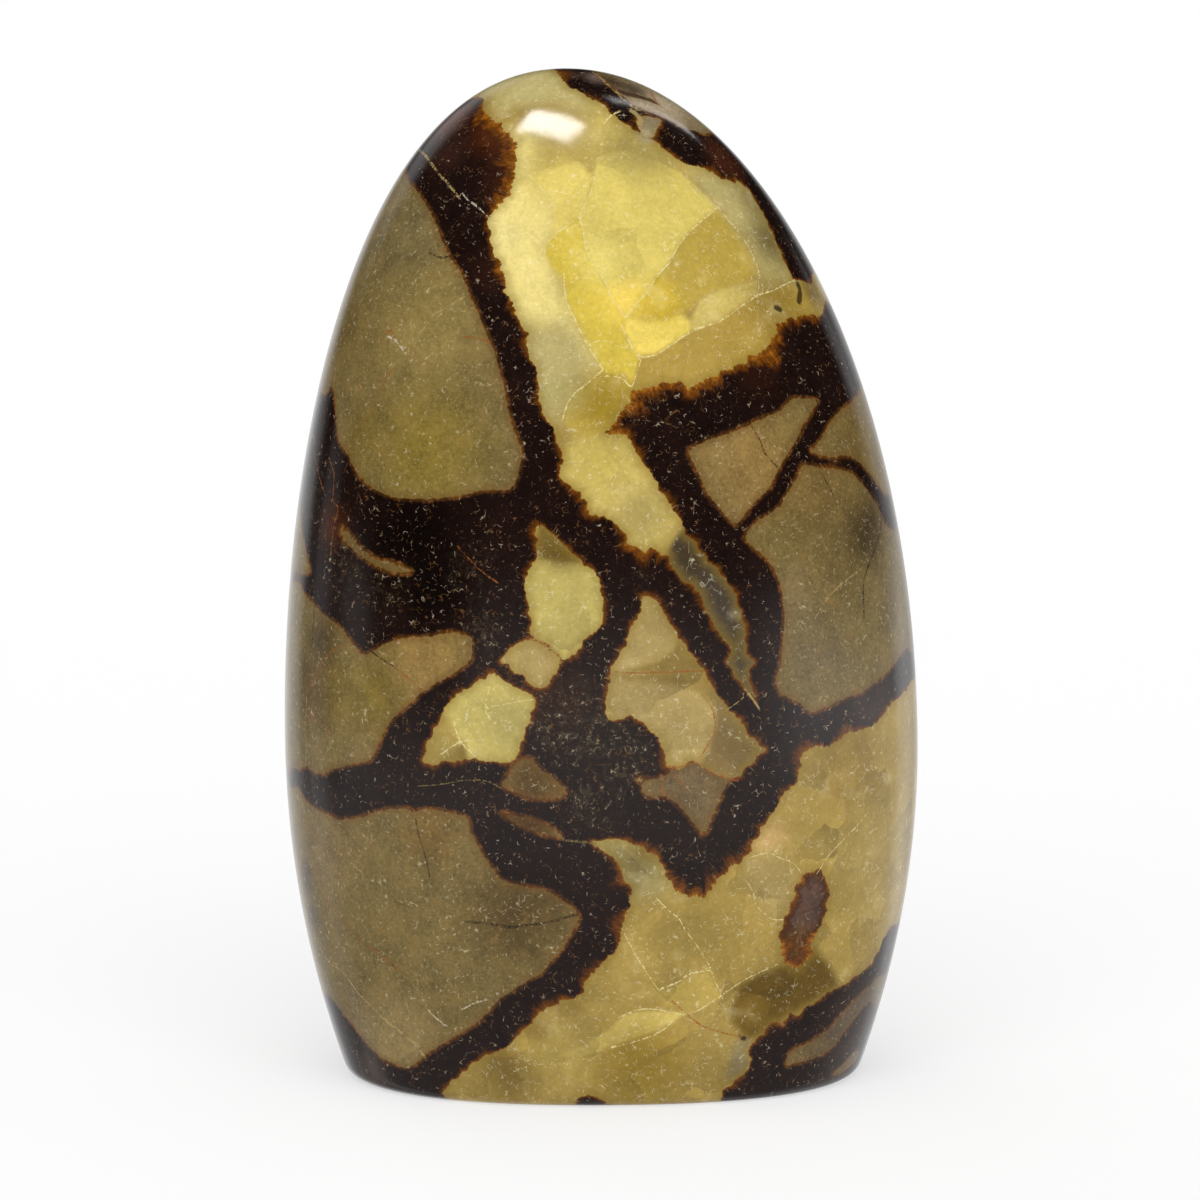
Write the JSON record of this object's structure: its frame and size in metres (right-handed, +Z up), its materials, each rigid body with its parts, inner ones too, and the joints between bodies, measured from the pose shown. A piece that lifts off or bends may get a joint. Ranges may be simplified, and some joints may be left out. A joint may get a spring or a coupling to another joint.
{
  "type": "septarian nodule",
  "caption": "Polished egg-shaped septarian stone, sawn flat below so that it stands upright; grey-olive mudstone, dark brown seams and yellow calcite.",
  "frame": {"origin": "middle of the stone's outline, on the surface that its flat base rests on", "axes": "+Z up the stone from its base to its rounded top; the broad front face looks along -Y; +X to the viewer's right"},
  "size_m": [0.0754, 0.052, 0.12],
  "materials": {
    "polished_septarian": "high polish"
  },
  "bodies": {
    "root": {"nodule": "polished_septarian"}
  },
  "joints": []
}
